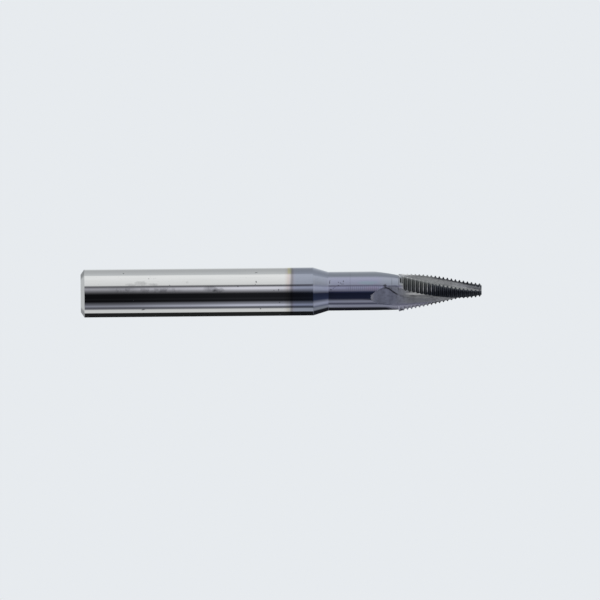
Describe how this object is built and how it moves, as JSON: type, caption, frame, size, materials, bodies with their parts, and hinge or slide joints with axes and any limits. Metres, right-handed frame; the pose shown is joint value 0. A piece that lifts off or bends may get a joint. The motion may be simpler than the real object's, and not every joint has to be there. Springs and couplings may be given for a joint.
{
  "type": "thread mill",
  "caption": "Tapered solid-carbide thread mill: plain round shank, stepped neck and a fluted cone of ring-shaped thread teeth for milling internal threads.",
  "frame": {"origin": "centre of the shank's flat end face, which the tool stands on", "axes": "+Z along the tool's axis, from the shank end to the cutting tip"},
  "size_m": [0.006, 0.006, 0.05],
  "materials": {
    "carbide": "polished solid carbide; the shank is bare and bright, and the neck and head carry a violet-grey hard coating"
  },
  "bodies": {
    "root": {"thread_mill": "carbide"}
  },
  "joints": []
}
